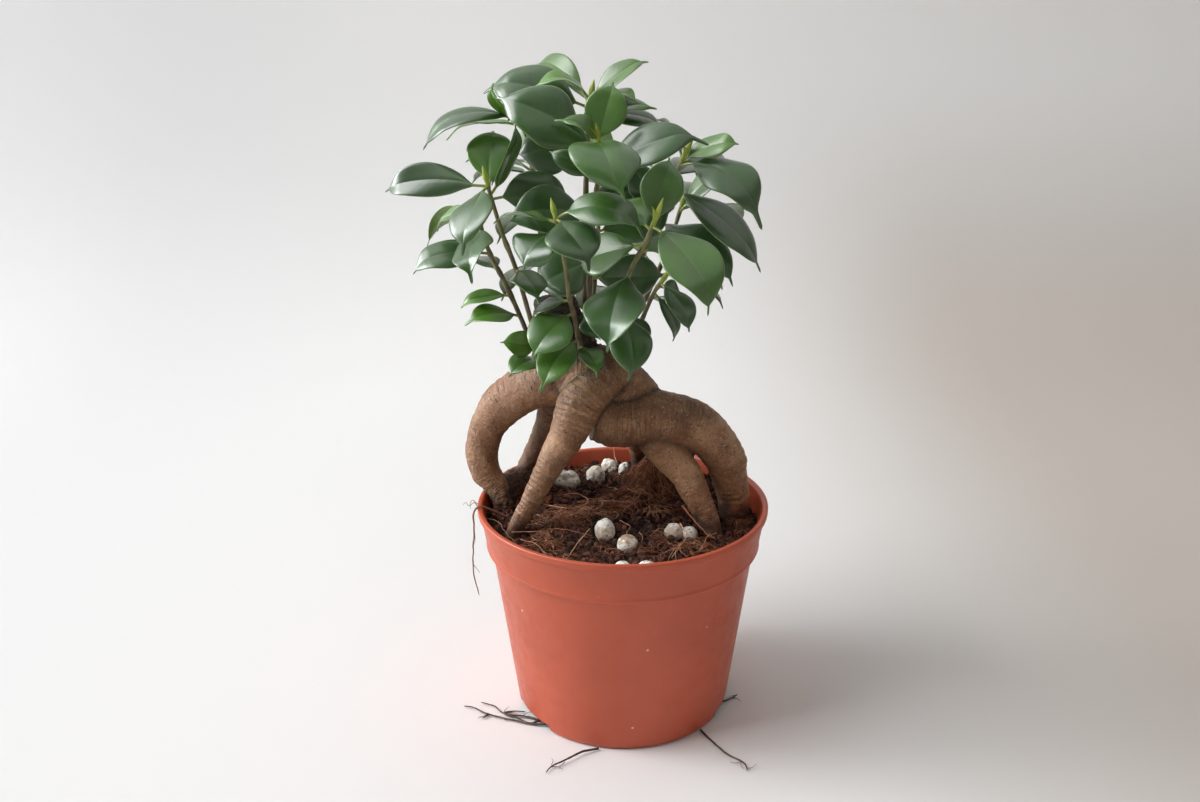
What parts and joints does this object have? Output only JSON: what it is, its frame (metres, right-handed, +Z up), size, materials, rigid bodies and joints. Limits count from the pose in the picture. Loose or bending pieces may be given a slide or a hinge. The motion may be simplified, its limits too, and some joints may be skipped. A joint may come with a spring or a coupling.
{
  "type": "potted ginseng ficus",
  "caption": "Small ginseng ficus with glossy oval leaves on swollen stilt-like storage roots, growing in a tapered terracotta-coloured plastic nursery pot",
  "frame": {"origin": "middle of the pot's flat underside, which rests on the surface", "axes": "+Z up through the plant, -Y towards the side that the picture shows, +X to the right in the picture"},
  "size_m": [0.1515, 0.129, 0.2678],
  "materials": {
    "pot_plastic": "terracotta-coloured polypropylene with a soft sheen and light scuffs",
    "soil": "damp peat and coir potting mix",
    "root_bark": "smooth tan-brown bark with dark pores and fine cross ridges",
    "leafy_shoot": "glossy waxy leaves on brown-green stems",
    "perlite": "off-white pitted perlite",
    "fine_root": "thin dark fibrous root"
  },
  "bodies": {
    "root": {"pot": "pot_plastic", "soil": "soil", "storage_roots": "root_bark", "shoot_left": "leafy_shoot", "shoot_left_low": "leafy_shoot", "shoot_front": "leafy_shoot", "shoot_front_right": "leafy_shoot", "shoot_top": "leafy_shoot", "shoot_top_back": "leafy_shoot", "shoot_top_left": "leafy_shoot", "shoot_right": "leafy_shoot", "shoot_right_low": "leafy_shoot", "shoot_back_left": "leafy_shoot", "shoot_back": "leafy_shoot", "shoot_back_right": "leafy_shoot", "perlite_01": "perlite", "perlite_02": "perlite", "perlite_03": "perlite", "perlite_04": "perlite", "perlite_05": "perlite", "perlite_06": "perlite", "perlite_07": "perlite", "perlite_08": "perlite", "perlite_09": "perlite", "perlite_10": "perlite", "drain_root_left": "fine_root", "drain_root_front": "fine_root", "drain_root_right": "fine_root", "drain_root_back": "fine_root", "rim_root": "fine_root"}
  },
  "joints": []
}
